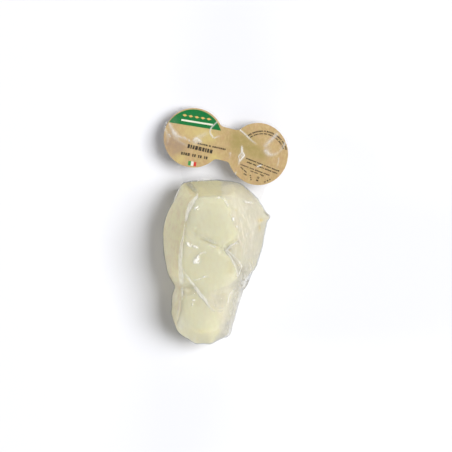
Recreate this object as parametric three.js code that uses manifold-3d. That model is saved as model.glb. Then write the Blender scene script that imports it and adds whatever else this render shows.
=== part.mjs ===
// A scamorza, a pear-shaped stretched-curd cheese, lying on its back in a clear vacuum bag with its paper tag.
// The frame is in millimetres with +Z up. The cheese's length runs along Y: the wide body lies towards +Y,
// then a neck, and the small head lies towards -Y. Past the body the two layers of film meet in a thin clear
// tail, which leaves the body below mid-height, droops a little, and carries a tag of two discs joined by a
// bridge. The origin is under the middle of the whole, on the surface that the cheese rests on.
//
// The bag is one solid: the tail, and a lump whose upper side is a set of flat facets pulled over the cheese
// by the shrunk film, with grooves where the film dips. The tag is a second solid, lying on the tail.

import * as THREE from "three";
import { mergeVertices } from "three/addons/utils/BufferGeometryUtils.js";
import Module from "manifold-3d";

const wasm = await Module();
wasm.setup();

// ---- Driving dimensions -------------------------------------------------------------------------

// Corners of the packed cheese seen from above, clockwise from the top left. The film runs almost straight
// between them.
const OUTLINE = [
  [-33.0, 31.2],
  [-26.3, 33.0],
  [-8.3, 34.1],
  [10.6, 32.2],
  [23.2, 20.9],
  [29.4, 10.3],
  [32.5, 6.6],
  [30.2, 2.3],
  [26.7, -17.1],
  [22.8, -28.7],
  [18.6, -35.9],
  [15.8, -44.4],
  [10.8, -53.1],
  [6.1, -70.0],
  [3.0, -80.5],
  [-11.2, -86.9],
  [-22.1, -86.9],
  [-35.5, -79.2],
  [-40.1, -66.4],
  [-39.7, -49.6],
  [-37.2, -45.0],
  [-42.9, -35.5],
  [-46.0, -17.9],
  [-46.4, -3.2],
  [-43.7, 8.6],
  [-37.4, 20.4],
];
const CORNER_REACH = 0.32; // share of each side that its rounded corners take
const LUMP_CENTRE = [-13.8, -26.7]; // the point under which the rings of the mesh close

// Height of the rim, where the lump is widest, along its length.
const RIM_HEAD = 18.0;
const RIM_BODY = 25.0;
const TAIL_ROOT = 17.0; // height at which the tail leaves the body
const RIM_RISE = [-62.0, -30.0]; // from head to body
const RIM_FALL = [14.0, 33.0]; // from body to tail
const RIM_ROUNDING = 6; // higher is a tighter bend from the facets down to the rim
const UNDER_ROUNDING = 3;
const UNDER_PRESS = 4.0; // how far the underside would reach below the surface that flattens it

const FACET_ROUNDING = 1.3; // radius at which neighbouring facets blend
// The facets bow out a little over the body and the head, as the cheese under them does.
const BODY_CROWN = { x: -12.0, y: -8.0, radiusX: 70, radiusY: 150 };
const HEAD_CROWN = { x: -17.0, y: -63.0, radiusX: 70, radiusY: 110 };
const NECK_Y = -45.0;
const NECK_BLEND = 10.0; // half the length over which the body's facets give way to the head's

const FILM_PLATE = 1.0; // thickness of the tail
const TAG_CARD = 0.8; // thickness of the tag
const TOUCH_GAP = 0.3; // clearance between the tag and the film under it
const TAIL_DROOP = 9.0; // how far the tail has come down at its far end
const TAIL_START_Y = 30.0;
const TAIL_LENGTH = 57.0;
const TAIL_WAVE = 0.9; // sideways swell of the tail and tag

const DISC_LEFT = { x: -23.7, y: 64.8, radius: 22.0 };
const DISC_RIGHT = { x: 23.9, y: 52.8, radius: 22.4 };
const BRIDGE_ABOVE = 13.2; // from the line through the discs' centres to the bridge's upper edge
const BRIDGE_BELOW = 11.1;
const BRIDGE_FILLET = 2.6;
const FILM_MARGIN = 1.6; // clear film past the tag's edge
const WEB = [
  [-29.5, 26.0],
  [-36.0, 50.0],
  [-8.0, 56.0],
  [12.0, 52.0],
  [31.5, 34.0],
  [25.0, 17.5],
  [8.0, 24.0],
];

// ---- Facets and grooves of the upper side -------------------------------------------------------

// The plane through (x, y, z) that rises by slopeX and slopeY for each millimetre along X and Y.
const facet = (x, y, z, slopeX, slopeY) => (px, py) =>
  z + slopeX * (px - x) + slopeY * (py - y);

const BODY_FACETS = [
  facet(-10.1, 2.7, 58.5, 0.07, 0.03), // upper face
  facet(-15.3, -23.7, 58.0, 0.05, 0.2), // middle face, down to the neck
  facet(-7.9, 20.4, 59.0, 0.0, -1.8), // top end
  facet(-27.0, 17.5, 54.5, 0.9, -0.9), // top left corner
  facet(-29.9, -1.7, 57.2, 0.86, -0.42), // upper left side
  facet(-29.9, -1.7, 57.2, 0.98, -0.18), // lower left side
  facet(5.5, 2.7, 59.5, -0.26, 0.05), // right shoulder
  facet(22.2, 2.7, 55.5, -0.9, 0.2), // right side
  facet(4.6, 15.2, 59.2, -0.72, -0.52), // upper right
  facet(16.4, 23.3, 46.0, -1.2, -1.0), // upper right end
  facet(9.0, -26.7, 56.0, -0.8, 0.25), // lower right side
];

const HEAD_FACETS = [
  facet(-18.9, -67.8, 47.5, 0.02, 0.08), // main face
  facet(-33.4, -62.0, 46.0, 1.3, 0.0), // left side
  facet(-9.4, -63.4, 47.2, -0.3, 0.05), // right shoulder
  facet(0.6, -63.4, 43.5, -1.2, 0.3), // right side
  facet(-15.3, -80.5, 44.0, 0.0, 1.8), // bottom end
  facet(-30.5, -76.0, 42.0, 0.8, 1.1), // bottom left corner
  facet(-3.5, -78.2, 41.0, -0.7, 1.2), // bottom right corner
];

// Dips where the film is drawn in. Each runs along its path and has a depth and half a width.
const GROOVES = [
  { path: [[-22.5, -5.5], [-12.3, -10.5], [-1.3, -16.8]], depth: 2.2, width: 3.0 }, // V across the body
  { path: [[-1.3, -16.8], [7.5, -11.2]], depth: 2.0, width: 2.6 }, // its short arm
  { path: [[-0.5, -18.5], [5.3, -24.5], [11.2, -36.2]], depth: 1.2, width: 2.0 }, // down to the neck
  { path: [[-39.0, -45.0], [-27.0, -46.5]], depth: 4.0, width: 4.0 }, // neck, left
  { path: [[-27.0, -46.5], [-8.0, -52.5]], depth: 0.8, width: 5.0 }, // neck, middle
  { path: [[17.0, -44.0], [-4.0, -52.0]], depth: 2.4, width: 4.4 }, // neck, right
  { path: [[-26.6, 32.5], [-21.0, 23.5]], depth: 3.0, width: 2.2 }, // fold at the top left corner
];

// ---- Mesh density -------------------------------------------------------------------------------

const STEPS_AROUND = 116;
// Evenly spaced inner rings, then from this share outwards rings that follow the bend.
const RINGS_TOP = { inner: 18, outer: 12, from: 0.64 };
const RINGS_UNDER = { inner: 2, outer: 7, from: 0.58 };
const TAIL_CELL = 5.0;
const ARC_STEPS = 28;

// ---- Helpers ------------------------------------------------------------------------------------

const mix = (a, b, share) => a + (b - a) * share;
const { smoothstep } = THREE.MathUtils;

// The lowest of several heights, with the joints between them rounded.
function softMinimum(heights) {
  const lowest = Math.min(...heights);
  const sum = heights.reduce((s, h) => s + Math.exp((lowest - h) / FACET_ROUNDING), 0);
  return lowest - FACET_ROUNDING * Math.log(sum);
}

function distanceToPath(x, y, path) {
  let nearest = Infinity;
  for (let i = 0; i + 1 < path.length; i++) {
    const [ax, ay] = path[i];
    const [dx, dy] = [path[i + 1][0] - ax, path[i + 1][1] - ay];
    const along = ((x - ax) * dx + (y - ay) * dy) / (dx * dx + dy * dy);
    const share = THREE.MathUtils.clamp(along, 0, 1);
    nearest = Math.min(nearest, Math.hypot(x - ax - dx * share, y - ay - dy * share));
  }
  return nearest;
}

// A closed path through the middles of the polygon's sides, with each corner rounded.
function roundedPolygon(corners, reach) {
  const shape = new THREE.Shape();
  const towards = (from, to, share) => [mix(from[0], to[0], share), mix(from[1], to[1], share)];
  corners.forEach((corner, i) => {
    const before = corners[(i + corners.length - 1) % corners.length];
    const after = corners[(i + 1) % corners.length];
    const [inX, inY] = towards(corner, before, reach);
    const [outX, outY] = towards(corner, after, reach);
    if (i === 0) shape.moveTo(inX, inY);
    else shape.lineTo(inX, inY);
    shape.quadraticCurveTo(corner[0], corner[1], outX, outY);
  });
  shape.closePath();
  return shape;
}

// A solid for joining and cutting, from any closed geometry.
function solid(geometry) {
  const bare = geometry.clone().deleteAttribute("normal").deleteAttribute("uv");
  const merged = mergeVertices(bare, 1e-4);
  return new wasm.Manifold(
    new wasm.Mesh({
      numProp: 3,
      vertProperties: merged.attributes.position.array,
      triVerts: new Uint32Array(merged.index.array),
    }),
  );
}

function geometryOf(manifold) {
  const mesh = manifold.getMesh();
  const geometry = new THREE.BufferGeometry();
  geometry.setAttribute("position", new THREE.BufferAttribute(mesh.vertProperties, 3));
  geometry.setIndex(new THREE.BufferAttribute(mesh.triVerts, 1));
  geometry.computeVertexNormals();
  return geometry;
}

function indexedGeometry(points, triangles) {
  const geometry = new THREE.BufferGeometry();
  geometry.setAttribute("position", new THREE.Float32BufferAttribute(points.flat(), 3));
  geometry.setIndex(triangles.flat());
  return geometry;
}

// A tall upright block with this outline, to cut a bent plate with.
function prism(shape) {
  const height = 100;
  const geometry = new THREE.ExtrudeGeometry(shape, {
    depth: height,
    bevelEnabled: false,
    curveSegments: ARC_STEPS,
  });
  return solid(geometry.translate(0, 0, -height / 2));
}

// ---- The cheese in its film ---------------------------------------------------------------------

function rimHeight(y) {
  const grown = mix(RIM_HEAD, RIM_BODY, smoothstep(y, ...RIM_RISE));
  return mix(grown, TAIL_ROOT, smoothstep(y, ...RIM_FALL));
}

// Height of the film over the cheese before it bends down to the rim.
function facetHeight(x, y) {
  const bow = ({ x: cx, y: cy, radiusX, radiusY }) =>
    (x - cx) ** 2 / (2 * radiusX) + (y - cy) ** 2 / (2 * radiusY);
  const body = softMinimum(BODY_FACETS.map((plane) => plane(x, y))) - bow(BODY_CROWN);
  const head = softMinimum(HEAD_FACETS.map((plane) => plane(x, y))) - bow(HEAD_CROWN);
  const faces = mix(head, body, smoothstep(y, NECK_Y - NECK_BLEND, NECK_Y + NECK_BLEND));
  const dip = GROOVES.reduce(
    (sum, g) => sum + g.depth * Math.exp(-((distanceToPath(x, y, g.path) / g.width) ** 2)),
    0,
  );
  return faces - dip;
}

// share is 0 over the centre and 1 on the rim.
function topHeight(x, y, share) {
  const rim = rimHeight(y);
  const bend = Math.sqrt(1 - share ** RIM_ROUNDING);
  return rim + Math.max(facetHeight(x, y) - rim, 1.5) * bend;
}

function underHeight(x, y, share) {
  const rim = rimHeight(y);
  const bend = Math.sqrt(1 - share ** UNDER_ROUNDING);
  return Math.max(0, rim - (rim + UNDER_PRESS) * bend);
}

// Shares for the rings from the centre to the rim. The outer ones turn by equal angles down the bend.
function ringShares({ inner, outer, from }, rounding) {
  const start = Math.asin(from ** (rounding / 2));
  const even = Array.from({ length: inner }, (_, i) => (from * (i + 1)) / inner);
  const bent = Array.from({ length: outer }, (_, i) => {
    const angle = mix(start, Math.PI / 2, (i + 1) / outer);
    return Math.sin(angle) ** (2 / rounding);
  });
  return [...even, ...bent];
}

// True if the edge from a to d lies nearer to the upper side than the other diagonal, from b to c. Choosing each
// time the nearer one lets the mesh follow creases that run across it.
function followsCreases(points, shares, a, d, b, c) {
  const middle = [0, 1].map((axis) => {
    const sum = points[a][axis] + points[b][axis] + points[c][axis] + points[d][axis];
    return sum / 4;
  });
  const height = topHeight(...middle, (shares[a] + shares[d]) / 2);
  const miss = (p, q) => Math.abs((points[p][2] + points[q][2]) / 2 - height);
  return miss(a, d) <= miss(b, c);
}

// Rings of points from the centre of the upper side out to the rim, and back to the centre of the underside.
function lump() {
  const outline = roundedPolygon(OUTLINE, CORNER_REACH);
  const rim = outline.getSpacedPoints(STEPS_AROUND).slice(0, STEPS_AROUND);
  const [cx, cy] = LUMP_CENTRE;
  const points = [[cx, cy, topHeight(cx, cy, 0)]];
  const shares = [0];
  const addRing = (share, height) => {
    for (const p of rim) {
      const [x, y] = [mix(cx, p.x, share), mix(cy, p.y, share)];
      points.push([x, y, height(x, y, share)]);
      shares.push(share);
    }
  };
  const topShares = ringShares(RINGS_TOP, RIM_ROUNDING);
  const underShares = ringShares(RINGS_UNDER, UNDER_ROUNDING).slice(0, -1).reverse();
  topShares.forEach((share) => addRing(share, topHeight));
  underShares.forEach((share) => addRing(share, underHeight));
  const last = points.length;
  points.push([cx, cy, 0]);

  const triangles = [];
  const rings = topShares.length + underShares.length;
  const at = (ring, step) => 1 + ring * STEPS_AROUND + (step % STEPS_AROUND);
  for (let step = 0; step < STEPS_AROUND; step++) {
    triangles.push([0, at(0, step + 1), at(0, step)]);
    for (let ring = 0; ring + 1 < rings; ring++) {
      const [a, b] = [at(ring, step), at(ring, step + 1)];
      const [c, d] = [at(ring + 1, step), at(ring + 1, step + 1)];
      if (ring + 1 < topShares.length && !followsCreases(points, shares, a, d, b, c)) {
        triangles.push([a, b, c], [b, d, c]);
      } else {
        triangles.push([a, b, d], [a, d, c]);
      }
    }
    triangles.push([last, at(rings - 1, step), at(rings - 1, step + 1)]);
  }
  return solid(indexedGeometry(points, triangles));
}

// ---- The tail and the tag -----------------------------------------------------------------------

// Height of the tail's middle layer: level at the body, then drooping, with a slight swell across.
function tailHeight(x, y) {
  const run = THREE.MathUtils.clamp((y - TAIL_START_Y) / TAIL_LENGTH, 0, 1);
  const droop = TAIL_DROOP * run * run * (1.6 - 0.6 * run);
  return TAIL_ROOT - droop + TAIL_WAVE * run * Math.sin(x / 9);
}

// A plate that follows the tail between two heights above its middle layer, wide enough for the whole tail.
function bentPlate(low, high) {
  const [x0, x1, y0, y1] = [-50, 50, 14, 92];
  const [columns, rows] = [Math.round((x1 - x0) / TAIL_CELL), Math.round((y1 - y0) / TAIL_CELL)];
  const plate = new THREE.BoxGeometry(x1 - x0, y1 - y0, high - low, columns, rows, 1);
  plate.translate((x0 + x1) / 2, (y0 + y1) / 2, (low + high) / 2);
  const position = plate.attributes.position;
  for (let i = 0; i < position.count; i++) {
    const lift = tailHeight(position.getX(i), position.getY(i));
    position.setZ(i, position.getZ(i) + lift);
  }
  return solid(plate);
}

// Two discs and the bridge between them, all grown by margin.
function tagShape(margin) {
  const axis = Math.atan2(DISC_RIGHT.y - DISC_LEFT.y, DISC_RIGHT.x - DISC_LEFT.x);
  const along = new THREE.Vector2(Math.cos(axis), Math.sin(axis));
  const [above, below] = [BRIDGE_ABOVE + margin, BRIDGE_BELOW + margin];
  const [left, right] = [DISC_LEFT, DISC_RIGHT].map((d) => ({ ...d, radius: d.radius + margin }));
  const onDisc = (disc, angle) =>
    new THREE.Vector2(
      disc.x + disc.radius * Math.cos(angle),
      disc.y + disc.radius * Math.sin(angle),
    );
  const corners = [
    { disc: left, angle: axis + Math.asin(above / left.radius), inward: 1, turn: 1 },
    { disc: right, angle: axis + Math.PI - Math.asin(above / right.radius), inward: -1, turn: -1 },
    { disc: right, angle: axis + Math.PI + Math.asin(below / right.radius), inward: -1, turn: 1 },
    { disc: left, angle: axis - Math.asin(below / left.radius), inward: 1, turn: -1 },
  ].map((c) => ({
    ...c,
    point: onDisc(c.disc, c.angle),
    arcEnd: c.angle + (c.turn * BRIDGE_FILLET) / c.disc.radius,
    onBridge: onDisc(c.disc, c.angle).addScaledVector(along, c.inward * BRIDGE_FILLET),
  }));
  const [upperLeft, upperRight, lowerRight, lowerLeft] = corners;
  const turn = 2 * Math.PI;
  const shape = new THREE.Shape();
  const filletTo = (corner, end) => shape.quadraticCurveTo(...corner.point, ...end);
  shape.absarc(left.x, left.y, left.radius, upperLeft.arcEnd, lowerLeft.arcEnd + turn, false);
  filletTo(lowerLeft, lowerLeft.onBridge);
  shape.lineTo(...lowerRight.onBridge);
  filletTo(lowerRight, onDisc(right, lowerRight.arcEnd));
  shape.absarc(right.x, right.y, right.radius, lowerRight.arcEnd, upperRight.arcEnd + turn, false);
  filletTo(upperRight, upperRight.onBridge);
  shape.lineTo(...upperLeft.onBridge);
  filletTo(upperLeft, onDisc(left, upperLeft.arcEnd));
  return shape;
}

function tail() {
  const outline = prism(tagShape(FILM_MARGIN)).add(prism(roundedPolygon(WEB, 0.12)));
  return bentPlate(-FILM_PLATE / 2, FILM_PLATE / 2).intersect(outline);
}

function tag() {
  const under = FILM_PLATE / 2 + TOUCH_GAP;
  return bentPlate(under, under + TAG_CARD).intersect(prism(tagShape(0)));
}

// ---- The whole ----------------------------------------------------------------------------------

const film = new THREE.MeshStandardMaterial({ color: 0xd9d3b4, roughness: 0.25, metalness: 0 });
const card = new THREE.MeshStandardMaterial({ color: 0xc4a878, roughness: 0.6, metalness: 0 });

function named(name, manifold, material) {
  const mesh = new THREE.Mesh(geometryOf(manifold), material);
  mesh.name = name;
  return mesh;
}

const scamorza = new THREE.Group();
scamorza.add(named("sealed_bag", lump().add(tail()), film));
scamorza.add(named("tag", tag(), card));

// The origin goes under the middle of the whole.
const box = new THREE.Box3().setFromObject(scamorza);
const middle = box.getCenter(new THREE.Vector3());
scamorza.position.set(-middle.x, -middle.y, -box.min.z);

export default scamorza;
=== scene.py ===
"""The looks of a vacuum-packed scamorza and its paper tag, built round the solid model.

Lengths in the tables and functions are millimetres in the model's frame, with the cheese's head towards -Y
and the tag towards +Y. They turn into metres where a mesh, a light or the camera is made.

The bag is one closed envelope of clear film: drawn tight over the cheese, and thin round the tag. The cheese
and the card lie inside it. Creases are ridges of the film, and they look whitish because film lies double
there. On the puckers and on some creases that white is a painted highlight, and the grey in a few folds is
painted shade. The cheese's colour zones also hold painted light and painted shade.
"""

import itertools
import math

import bmesh
import bpy
import numpy as np
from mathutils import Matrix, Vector, noise


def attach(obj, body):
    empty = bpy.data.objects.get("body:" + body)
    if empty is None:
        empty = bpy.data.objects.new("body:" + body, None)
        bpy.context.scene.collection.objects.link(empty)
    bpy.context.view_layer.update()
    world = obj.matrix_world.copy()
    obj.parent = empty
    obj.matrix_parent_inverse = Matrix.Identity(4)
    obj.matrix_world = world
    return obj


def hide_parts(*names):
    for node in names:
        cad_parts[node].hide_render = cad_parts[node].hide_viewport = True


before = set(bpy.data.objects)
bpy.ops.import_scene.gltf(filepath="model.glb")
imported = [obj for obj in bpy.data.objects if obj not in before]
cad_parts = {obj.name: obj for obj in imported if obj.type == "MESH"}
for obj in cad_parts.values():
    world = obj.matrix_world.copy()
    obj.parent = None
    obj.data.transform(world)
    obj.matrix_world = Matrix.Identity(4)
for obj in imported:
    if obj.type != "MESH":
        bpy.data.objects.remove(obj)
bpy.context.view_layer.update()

MM = 0.001
X, Y, Z = range(3)

# ---- Entries of the tables ----


def patch(at, radii, strength=1.0, turn=0.0):
    """A soft oval place: its centre, radii, strength at the centre, and turn in degrees."""
    return {"at": at, "radii": radii, "strength": strength, "turn": turn}


def crease(path, height, width, haze, tone=0.7, flat=False):
    """A line in the film: its path, how high it stands, half its width, how much it hides what is under it,
    and its tone from grey, 0, to white, 1. Height, width and haze may be lists of values along the path. A
    flat one is a band of folded film, and any other falls off softly on both sides."""
    line = smooth_path(path)
    return {"path": line, "height": height, "width": width, "haze": haze, "tone": tone, "flat": flat}


def crease_table(*rows):
    return [crease(*row) for row in rows]


def smooth_path(corners, steps=6):
    """Points on a smooth curve through the corners."""
    points = np.array(corners, float)
    padded = np.vstack([2 * points[0] - points[1], points, 2 * points[-1] - points[-2]])
    curve = []
    for before, start, end, after in zip(padded, padded[1:], padded[2:], padded[3:]):
        for t in np.arange(steps) / steps:
            bend = 2 * before - 5 * start + 4 * end - after
            twist = -before + 3 * start - 3 * end + after
            curve.append(start + 0.5 * ((end - before) * t + bend * t**2 + twist * t**3))
    return np.vstack([curve, points[-1:]])


# ---- The lump of cheese ----

FILM_VOXEL = 0.55
CHEESE_VOXEL = 0.65
FACET_SMOOTHING = 10  # rounds that take the flat triangles out of the solid's surface
CHEESE_INSET = 0.35  # from the film to the cheese where the film lies on it
KNOB_HEIGHT = 0.1  # of the curd's slight unevenness
KNOB_CELL = 3.2

# Corners of the lump's outline on the side where the bag's tail leaves it, and what rounds them.
TAIL_SIDE = [
    (-37.7, 19.65), (-33.3, 30.45), (-26.6, 32.25), (-8.6, 33.35), (10.3, 31.45), (22.9, 20.15),
    (29.1, 9.55),
]
CORNER_REACH = 0.32  # share of each side that a rounded corner takes
BEYOND = 130.0  # well past the object, for blocks that cut

# Places where the film stands off the cheese and only clear film shows. The strength is how far the cheese is
# drawn back towards -X.
SLACK = [
    patch((17.0, -42.0), (5.0, 6.0), 2.6),  # bunched film at the neck
    patch((12.0, -52.0), (5.0, 10.0), 1.2),  # right side of the head
    patch((4.0, -80.0), (6.0, 7.0), 1.3),  # bottom right corner
]

# Places where the outline is drawn out or in: centre, radius and shift.
CORNERS = [
    ((-22.2, -86.5), 3.2, (-0.2, -0.6)),
    ((-11.5, -86.5), 3.2, (0.4, -0.6)),
    ((1.8, -80.0), 4.5, (0.5, -0.9)),
    ((30.5, 5.8), 2.6, (1.0, 0.1)),
    ((21.6, -30.8), 2.6, (0.5, -0.2)),
    ((13.8, -48.5), 2.8, (-0.9, 0.1)),
    ((-40.2, -65.0), 2.4, (-0.5, 0.0)),
]

# ---- Film features, seen from above ----

FLAT = True  # at the end of a row: a band of folded film
V_GROOVE = [(-20.1, -9.9), (-14.8, -12.0), (-10.2, -13.9), (-5.6, -15.4), (-1.8, -17.6)]
V_ARM = [(-1.4, -15.7), (2.5, -13.2), (6.3, -11.1)]

CREASES = crease_table(
    # The main fold down the left side, from the top corner to the neck.
    ([(-20.5, 23.9), (-21.6, 20.1), (-24.3, 16.7), (-26.5, 12.9), (-28.1, 8.5), (-29.8, 0.9)],
     [0.3, 0.2, 0.15, 0.15, 0.15, 0.1], [0.6, 1.2, 1.8, 1.6, 1.2, 0.6], [0.3, 0.6, 0.55, 0.55, 0.6, 0.35],
     0.95, FLAT),
    ([(-29.8, 0.9), (-30.6, -5.4), (-32.5, -14.8), (-33.2, -22.6), (-33.6, -27.2), (-32.9, -36.5),
      (-32.5, -45.8)],
     [0.12, 0.12, 0.15, 0.2, 0.2, 0.2, 0.2], [0.6, 0.7, 1.1, 1.4, 1.5, 2.0, 1.2],
     [0.35, 0.4, 0.45, 0.45, 0.5, 0.4, 0.3], 0.9, FLAT),
    ([(-32.5, -45.8), (-32.3, -47.3), (-31.9, -51.1), (-32.5, -54.8)],
     0.3, [1.0, 0.7, 0.3], [0.5, 0.8, 0.2], 0.8),
    # The thin groove that goes on over the head's left side, its grey haze painted shade, with loose film
    # beside it.
    ([(-32.3, -54.0), (-32.9, -61.6), (-34.7, -69.1), (-36.5, -73.7)], -0.1, 0.45, 0.25, 0.1),
    ([(-33.6, -54.5), (-34.2, -61.0), (-35.9, -68.0)], 0.2, 0.6, 0.25, 0.8),
    # The diagonal across the neck.
    ([(-32.5, -28.7), (-30.9, -34.0), (-28.8, -37.0), (-25.6, -41.4), (-22.5, -45.1)],
     [0.15, 0.2, 0.25, 0.3], 0.9, [0.0, 0.15, 0.5, 0.6], 0.85, FLAT),
    ([(-23.5, -43.8), (-20.1, -49.3), (-15.6, -54.5), (-13.8, -57.5), (-11.1, -60.9), (-7.8, -63.9)],
     [0.25, 0.25, 0.25, 0.2, 0.15, 0.1], [1.1, 1.35, 1.4, 1.0, 0.6, 0.5], [0.6, 0.7, 0.8, 0.7, 0.45, 0.5],
     0.75, FLAT),
    # The V across the body: a narrow groove with a fold of film above it and a thin edge below.
    (V_GROOVE, [-0.3, -0.4, -0.3, 0.0], 0.7, 0.0),
    ([(-19.6, -7.1), (-14.8, -9.8), (-10.4, -12.3), (-7.5, -13.6)],
     0.15, 1.25, [0.15, 0.2, 0.45, 0.3], 0.5),
    ([(-13.2, -14.4), (-10.4, -15.5), (-7.3, -16.4)], 0.12, 0.4, 0.5, 1.0),
    # Its short arm: a groove, and the fold along it.
    (V_ARM, [-0.1, -0.3, -0.3], 0.7, 0.0),
    ([(-0.2, -18.6), (4.4, -14.8), (8.2, -12.7), (9.7, -11.4)],
     [0.1, 0.12, 0.0, 0.0], [0.8, 1.1, 0.7, 0.4], [0.6, 0.5, 0.45, 0.2], 0.75, FLAT),
    # From the V's tip down to the neck, doubled.
    ([(-1.6, -16.8), (0.9, -20.6), (3.2, -23.5), (5.7, -28.8), (7.8, -33.4), (8.2, -39.6)],
     0.4, [0.8, 0.6, 0.55, 0.55], [0.8, 0.8, 0.6, 0.5, 0.5], 0.9),
    ([(-1.0, -17.2), (3.2, -20.7), (6.9, -24.7), (10.0, -28.1), (11.3, -30.3), (9.4, -35.9),
      (8.8, -38.0)],
     0.4, 0.55, [0.9, 0.7, 0.45, 0.5, 0.6, 0.6], 0.9),
    ([(2.4, -20.7), (5.4, -25.3), (8.0, -29.5), (9.3, -33.0)], -0.15, 0.7, 0.5, 0.35),
    # Upper and right edge of the upper face.
    ([(-20.5, 19.5), (-15.0, 19.8), (-9.5, 20.1), (-5.7, 20.6), (-2.4, 19.5)],
     0.3, 0.8, [0.0, 0.05, 0.1, 0.3]),
    # Its right edge is painted white as a highlight.
    ([(-2.4, 19.5), (-0.6, 17.0), (0.7, 15.0), (1.8, 12.6)], 0.3, 0.5, [0.3, 0.5, 0.35, 0.6], 1.0),
    ([(2.5, 9.1), (4.7, 3.6), (7.5, -1.3), (9.1, -5.2)], 0.3, 0.9, 0.08),
    # The folded flap at the top left corner: film standing on edge, painted grey as shade inside the fold.
    ([(-28.2, 31.9), (-26.6, 29.2), (-24.0, 26.2), (-21.6, 23.3)],
     0.1, [2.2, 1.9, 1.4, 0.9], [0.5, 0.5, 0.45, 0.35], 0.1, FLAT),
    # The film's light rim along the upper left edge and behind.
    ([(-22.5, 32.0), (-16.5, 32.8), (-10.0, 33.1)], 0.0, 0.55, [0.4, 0.45, 0.25], 0.9),
    ([(-33.3, 30.2), (-34.9, 25.9), (-36.6, 22.0), (-38.6, 17.2)], 0.0, 0.7, [0.5, 0.8, 0.7, 0.3], 0.9),
    # The grey edge of the nub at the right.
    ([(27.8, 10.4), (29.4, 8.6), (31.6, 6.4)], 0.0, 0.8, [0.3, 0.7, 0.8], 0.1),
    # Bunched film at the right of the neck.
    ([(12.6, -34.0), (14.8, -38.5), (15.3, -44.1)], [0.35, 0.3, 0.05], 0.6, 0.3, 0.6),
    ([(16.5, -27.4), (18.4, -31.3), (17.9, -36.5)], 0.5, 0.6, 0.3, 0.8),
    ([(9.1, -39.9), (11.6, -43.6), (15.2, -44.7)], [0.2, 0.1, 0.0], 0.6, [0.3, 0.4, 0.6], 0.3),
    ([(16.0, -40.0), (15.2, -43.4), (13.4, -45.6), (12.0, -49.0)], 0.0, 1.1, 0.75, 0.05),
    ([(11.0, -31.0), (12.8, -38.0), (11.0, -46.0)], 0.0, 3.2, 0.45, 0.15),
    ([(19.5, -26.0), (20.5, -31.5), (19.0, -37.0)], 0.4, 0.6, 0.25, 0.8),
    # A thin bright arc on the head's right side, painted white as a highlight, and a fainter line beside it.
    ([(4.2, -48.6), (2.3, -51.5), (1.2, -57.9)], 0.22, 0.6, [0.5, 0.6, 0.8], 1.0),
    ([(6.5, -46.0), (4.6, -50.0), (3.4, -56.5)], 0.15, 0.7, 0.35, 0.75),
)

# Low swells that make the solid's V, and the hollow of its neck, shallower.
SWELLS = crease_table(
    ([(-27.5, -4.2), (-22.8, -6.25), (-12.6, -11.25), (-1.6, -17.55)],
     [0.3, 1.0, 1.2, 1.1, 0.9], 3.0, 0.0),
    ([(-1.6, -17.55), (7.2, -11.95)], [0.9, 1.0, 0.8], 2.6, 0.0),
    ([(-3.2, -16.0), (-1.2, -17.4), (0.6, -18.9)], [0.8, 1.2, 0.7], 1.7, 0.0),
    ([(-2.6, -17.0), (-1.9, -19.0), (-1.2, -21.0)], [0.5, 1.1, 0.5], 1.3, 0.0),
    ([(-29.0, -43.5), (-27.5, -48.0), (-26.0, -52.5)], 0.5, 4.0, 0.0),
)

# Painted shade along the V's groove and arm and the head's groove, too narrow for the mesh to shade, and over
# a darker patch below the V's arm. Their haze is the strength of the colour.
CREASE_SHADES = crease_table(
    (V_GROOVE, 0, 0.5, [0.25, 0.45, 0.45, 0.3, 0.0]),
    (V_ARM, 0, 0.6, [0.05, 0.3, 0.2]),
    ([(-32.0, -54.0), (-32.6, -61.6), (-34.4, -69.1), (-36.2, -73.7)], 0, 0.4, [0.1, 0.3, 0.2]),
    ([(1.5, -25.5), (4.4, -30.5), (3.6, -36.0)], 0, 2.8, [0.25, 0.4, 0.25]),
)

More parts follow.
